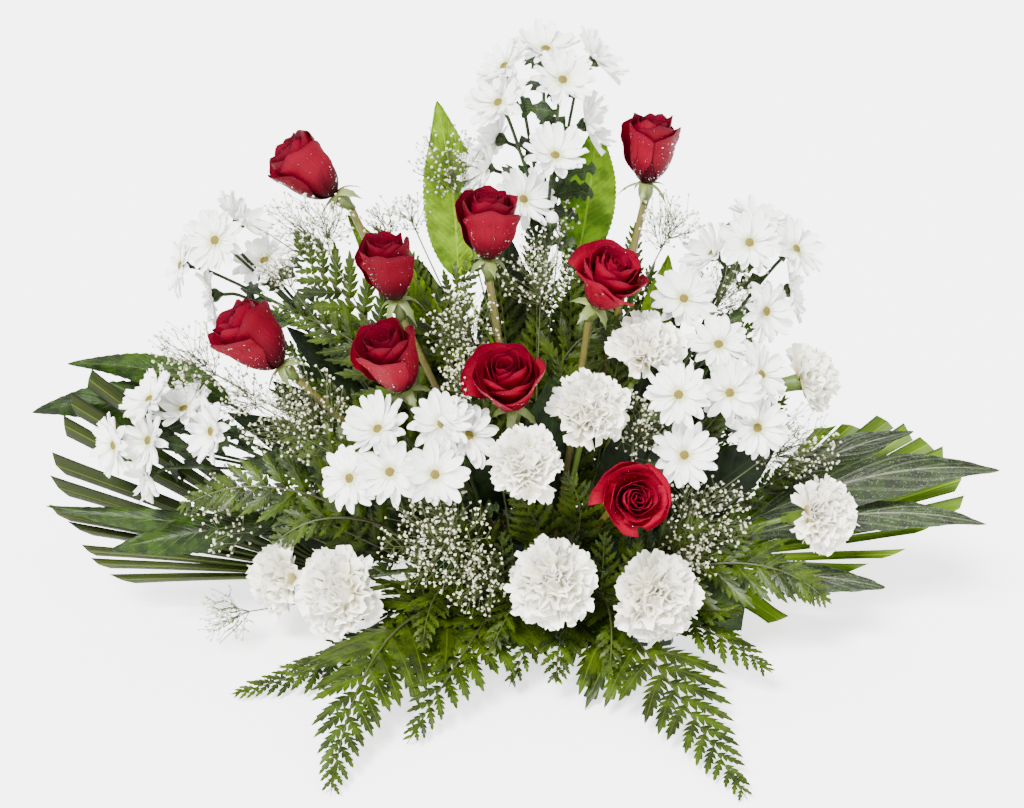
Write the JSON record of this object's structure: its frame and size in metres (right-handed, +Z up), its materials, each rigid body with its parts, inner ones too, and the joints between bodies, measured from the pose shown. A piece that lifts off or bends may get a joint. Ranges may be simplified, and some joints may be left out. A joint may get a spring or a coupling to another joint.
{
  "type": "flower centerpiece",
  "caption": "Low table arrangement of roses, carnations, daisy sprays, fern, palm, broad leaves and baby's breath, standing in wet foam in a shallow tray.",
  "frame": {"origin": "middle of the tray's underside, on the table", "axes": "+X to the viewer's right, +Y to the back, +Z up"},
  "size_m": [0.788, 0.4127, 0.4841],
  "materials": {
    "tray": "semi-gloss moulded",
    "foam": "matt, wet, porous",
    "rose": "velvety petals with water droplets",
    "rose_stem": "waxy",
    "carnation": "soft matt petals",
    "carnation_stem": "waxy bloom",
    "daisy": "soft matt petals",
    "fern": "glossy leaf",
    "palm": "satin ribbed leaf",
    "lime_leaf": "satin translucent leaf",
    "dark_leaf": "glossy leaf",
    "grey_leaf": "silvery satin leaf",
    "babys_breath": "matt florets on wiry stalks"
  },
  "bodies": {
    "root": {"tray": "tray", "rose_1": "rose", "rose_stem_1": "rose_stem", "rose_2": "rose", "rose_stem_2": "rose_stem", "rose_3": "rose", "rose_stem_3": "rose_stem", "rose_4": "rose", "rose_stem_4": "rose_stem", "rose_5": "rose", "rose_stem_5": "rose_stem", "rose_6": "rose", "rose_stem_6": "rose_stem", "rose_7": "rose", "rose_stem_7": "rose_stem", "rose_8": "rose", "rose_stem_8": "rose_stem", "rose_9": "rose", "rose_stem_9": "rose_stem", "carnation_1": "carnation", "carnation_stem_1": "carnation_stem", "carnation_2": "carnation", "carnation_stem_2": "carnation_stem", "carnation_3": "carnation", "carnation_stem_3": "carnation_stem", "carnation_4": "carnation", "carnation_stem_4": "carnation_stem", "carnation_5": "carnation", "carnation_stem_5": "carnation_stem", "carnation_6": "carnation", "carnation_stem_6": "carnation_stem", "carnation_7": "carnation", "carnation_stem_7": "carnation_stem", "carnation_8": "carnation", "carnation_stem_8": "carnation_stem", "carnation_9": "carnation", "carnation_stem_9": "carnation_stem", "daisy_spray_top": "daisy", "daisy_spray_left_high": "daisy", "daisy_spray_left_low": "daisy", "daisy_spray_middle": "daisy", "daisy_spray_right_high": "daisy", "daisy_spray_right_middle": "daisy", "palm_left": "palm", "palm_right": "palm", "leaves_top": "lime_leaf", "leaves_left": "dark_leaf", "leaves_right": "grey_leaf", "fern_front_right": "fern", "fern_front_left": "fern", "fern_left": "fern", "fern_upper": "fern", "fern_back": "fern", "babys_breath_top": "babys_breath", "babys_breath_left": "babys_breath", "babys_breath_low_left": "babys_breath", "babys_breath_middle": "babys_breath", "babys_breath_right": "babys_breath", "foam": "foam"}
  },
  "joints": []
}
